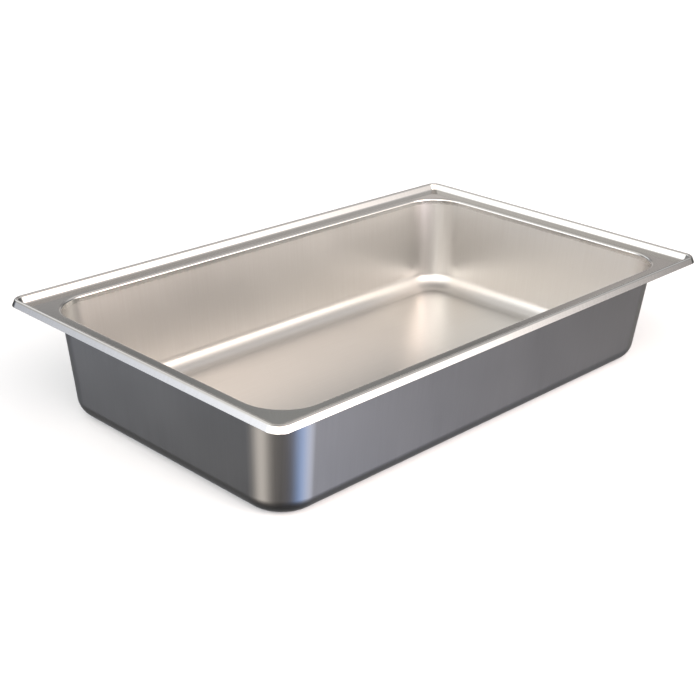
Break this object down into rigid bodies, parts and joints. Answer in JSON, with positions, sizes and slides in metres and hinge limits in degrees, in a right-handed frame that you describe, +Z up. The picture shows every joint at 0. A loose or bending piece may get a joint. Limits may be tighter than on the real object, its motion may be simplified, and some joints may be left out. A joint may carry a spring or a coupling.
{
  "type": "deli food pan",
  "caption": "Deep rectangular stainless-steel food pan with tapered walls, rounded corners and a raised rim round a narrow ledge; it hangs in a counter opening and holds food.",
  "frame": {"origin": "under the middle of the floor, on the surface that the pan stands on", "axes": "+Z up, +X along the longer side, +Y along the shorter side"},
  "size_m": [0.527, 0.324, 0.1],
  "materials": {
    "stainless_sheet": "satin-polished pressed stainless sheet"
  },
  "bodies": {
    "root": {"pan_shell": "stainless_sheet"}
  },
  "joints": []
}
